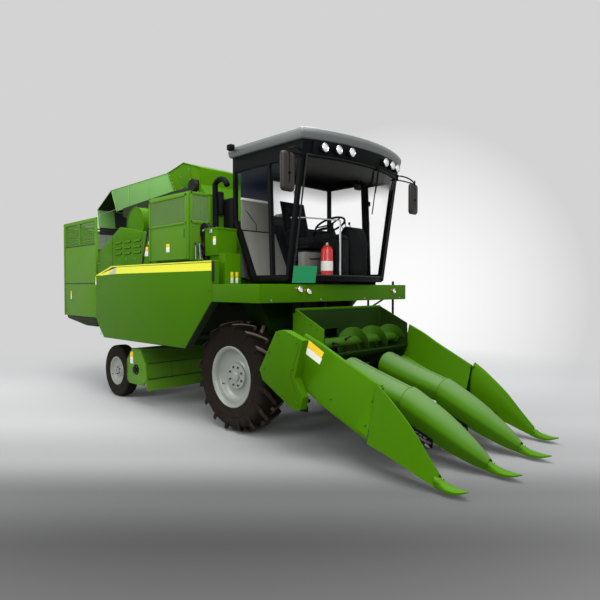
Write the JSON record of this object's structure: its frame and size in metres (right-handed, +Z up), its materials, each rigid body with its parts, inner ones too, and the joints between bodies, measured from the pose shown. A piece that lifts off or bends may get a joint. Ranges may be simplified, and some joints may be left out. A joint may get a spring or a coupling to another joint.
{
  "type": "corn combine harvester",
  "caption": "Self-propelled corn combine with a row header, glazed cab, ear elevator, rear tipping ear bin and a stalk chopper between its axles.",
  "frame": {"origin": "centre of the bounding box in plan, on the ground under the wheels", "axes": "+X forward to the header's snouts, +Y to the driver's left, +Z up"},
  "size_m": [7.51, 2.612, 3.36],
  "materials": {
    "green paint": "gloss",
    "dark green paint": "satin",
    "black paint": "satin",
    "pale grey plastic": "satin",
    "silver paint": "satin",
    "tyre rubber": "matte",
    "tinted glass": "gloss",
    "steel": "satin",
    "seat fabric": "matte"
  },
  "bodies": {
    "machine": {"chassis_frame": "dark green paint", "front_axle": "dark green paint", "rear_axle_beam": "dark green paint", "engine_block": "black paint", "husker_housing": "green paint", "side_skirt_right": "green paint", "side_skirt_left": "green paint", "ear_elevator": "green paint", "discharge_hood": "green paint", "air_screen_box": "green paint", "air_cleaner": "black paint", "platform": "green paint", "ladder": "black paint", "cab_frame": "black paint", "cab_roof": "pale grey plastic", "lamp_fascia": "black paint", "windscreen": "tinted glass", "right_front_window": "tinted glass", "right_rear_window": "tinted glass", "left_rear_window": "tinted glass", "rear_window": "tinted glass", "seat": "seat fabric", "steering_column": "black paint", "mirror_right": "black paint", "mirror_left": "black paint", "chopper_hood": "green paint"},
    "front_wheel_right": {"front_wheel_rim_right": "silver paint", "front_tyre_right": "tyre rubber"},
    "front_wheel_left": {"front_wheel_rim_left": "silver paint", "front_tyre_left": "tyre rubber"},
    "knuckle_right": {"steering_knuckle_right": "dark green paint"},
    "knuckle_left": {"steering_knuckle_left": "dark green paint"},
    "rear_wheel_right": {"rear_wheel_rim_right": "silver paint", "rear_tyre_right": "tyre rubber"},
    "rear_wheel_left": {"rear_wheel_rim_left": "silver paint", "rear_tyre_left": "tyre rubber"},
    "header": {"header_trough": "green paint", "chain_cover": "green paint", "divider_panel_right": "green paint", "divider_panel_left": "green paint", "hood_inner_right": "green paint", "hood_inner_left": "green paint", "row_units": "black paint"},
    "auger": {"cross_auger": "steel"},
    "inner_snout_right": {"snout_inner_right": "green paint"},
    "inner_snout_left": {"snout_inner_left": "green paint"},
    "outer_snout_right": {"snout_outer_right": "green paint"},
    "outer_snout_left": {"snout_outer_left": "green paint"},
    "lift_barrel_right": {"header_cylinder_right_barrel": "black paint"},
    "lift_rod_right": {"header_cylinder_right_rod": "steel"},
    "lift_barrel_left": {"header_cylinder_left_barrel": "black paint"},
    "lift_rod_left": {"header_cylinder_left_rod": "steel"},
    "chopper": {"chopper_rotor": "steel"},
    "driver_door": {"cab_door": "black paint", "cab_door_glass": "tinted glass"},
    "screen_cover": {"screen_door": "green paint"},
    "bin": {"ear_bin": "green paint"},
    "tailgate": {"bin_tailgate": "green paint"},
    "tip_barrel": {"bin_cylinder_barrel": "black paint"},
    "tip_rod": {"bin_cylinder_rod": "steel"}
  },
  "joints": [
    {"name": "front_wheel_right_turns", "type": "hinge", "parent": "machine", "child": "front_wheel_right", "pos_m": [0.805, -0.94, 0.625], "axis": [0, 1, 0], "continuous": true},
    {"name": "front_wheel_left_turns", "type": "hinge", "parent": "machine", "child": "front_wheel_left", "pos_m": [0.805, 0.94, 0.625], "axis": [0, 1, 0], "continuous": true},
    {"name": "steering_right", "type": "hinge", "parent": "machine", "child": "knuckle_right", "pos_m": [-1.965, -0.83, 0.385], "axis": [0, 0, 1], "range_deg": [-30, 30]},
    {"name": "steering_left", "type": "hinge", "parent": "machine", "child": "knuckle_left", "pos_m": [-1.965, 0.83, 0.385], "axis": [0, 0, 1], "range_deg": [-30, 30]},
    {"name": "rear_wheel_right_turns", "type": "hinge", "parent": "knuckle_right", "child": "rear_wheel_right", "pos_m": [-1.965, -1.025, 0.385], "axis": [0, 1, 0], "continuous": true},
    {"name": "rear_wheel_left_turns", "type": "hinge", "parent": "knuckle_left", "child": "rear_wheel_left", "pos_m": [-1.965, 1.025, 0.385], "axis": [0, 1, 0], "continuous": true},
    {"name": "header_lift", "type": "hinge", "parent": "machine", "child": "header", "pos_m": [1.005, 0, 1], "axis": [0, -1, 0], "range_deg": [0, 12]},
    {"name": "cross_auger_turns", "type": "hinge", "parent": "header", "child": "auger", "pos_m": [1.735, 0, 1.03], "axis": [0, 1, 0], "continuous": true},
    {"name": "inner_snout_right_folds", "type": "hinge", "parent": "header", "child": "inner_snout_right", "pos_m": [2.6973, -0.344, 0.633], "axis": [0, -1, 0], "range_deg": [0, 90]},
    {"name": "inner_snout_left_folds", "type": "hinge", "parent": "header", "child": "inner_snout_left", "pos_m": [2.6973, 0.344, 0.633], "axis": [0, -1, 0], "range_deg": [0, 90]},
    {"name": "outer_snout_right_folds", "type": "hinge", "parent": "header", "child": "outer_snout_right", "pos_m": [2.7173, -0.9, 0.733], "axis": [0, -1, 0], "range_deg": [0, 90]},
    {"name": "outer_snout_left_folds", "type": "hinge", "parent": "header", "child": "outer_snout_left", "pos_m": [2.7173, 0.9, 0.733], "axis": [0, -1, 0], "range_deg": [0, 90]},
    {"name": "lift_cylinder_right_swings", "type": "hinge", "parent": "machine", "child": "lift_barrel_right", "pos_m": [0.965, -0.3, 0.6], "axis": [0, -1, 0], "range_deg": [0, 9.99]},
    {"name": "lift_rod_right_slides", "type": "slide", "parent": "lift_barrel_right", "child": "lift_rod_right", "axis": [0.9984, 0, 0.0565], "range_m": [0, 0.082]},
    {"name": "lift_cylinder_left_swings", "type": "hinge", "parent": "machine", "child": "lift_barrel_left", "pos_m": [0.965, 0.3, 0.6], "axis": [0, -1, 0], "range_deg": [0, 9.99]},
    {"name": "lift_rod_left_slides", "type": "slide", "parent": "lift_barrel_left", "child": "lift_rod_left", "axis": [0.9984, 0, 0.0565], "range_m": [0, 0.082]},
    {"name": "chopper_turns", "type": "hinge", "parent": "machine", "child": "chopper", "pos_m": [-1.185, 0, 0.5], "axis": [0, 1, 0], "continuous": true},
    {"name": "driver_door_opens", "type": "hinge", "parent": "machine", "child": "driver_door", "pos_m": [1.205, 0.872, 2.4], "axis": [0, 0, 1], "range_deg": [0, 75]},
    {"name": "screen_cover_opens", "type": "hinge", "parent": "machine", "child": "screen_cover", "pos_m": [-0.643, -1.272, 2.3], "axis": [0, 0, -1], "range_deg": [0, 90]},
    {"name": "bin_tips", "type": "hinge", "parent": "machine", "child": "bin", "pos_m": [-3.595, 0, 1.08], "axis": [0, -1, 0], "range_deg": [0, 50]},
    {"name": "tailgate_opens", "type": "hinge", "parent": "bin", "child": "tailgate", "pos_m": [-3.74, 0, 2.69], "axis": [0, 1, 0], "range_deg": [0, 60]},
    {"name": "tip_cylinder_swings", "type": "hinge", "parent": "machine", "child": "tip_barrel", "pos_m": [-2.395, 0, 0.74], "axis": [0, 1, 0], "range_deg": [0, 15.91]},
    {"name": "tip_rod_slides", "type": "slide", "parent": "tip_barrel", "child": "tip_rod", "axis": [-0.9168, 0, 0.3994], "range_m": [0, 0.3398]}
  ],
  "couplings": [
    {"joint": "steering_left", "follows": "steering_right", "ratio": 1},
    {"joint": "lift_cylinder_right_swings", "follows": "header_lift", "ratio": 0.83094},
    {"joint": "lift_rod_right_slides", "follows": "header_lift", "m_per_rad": 0.38951},
    {"joint": "lift_cylinder_left_swings", "follows": "header_lift", "ratio": 0.83094},
    {"joint": "lift_rod_left_slides", "follows": "header_lift", "m_per_rad": 0.38951},
    {"joint": "tip_cylinder_swings", "follows": "bin_tips", "ratio": 0.31782},
    {"joint": "tip_rod_slides", "follows": "bin_tips", "m_per_rad": 0.3888}
  ]
}
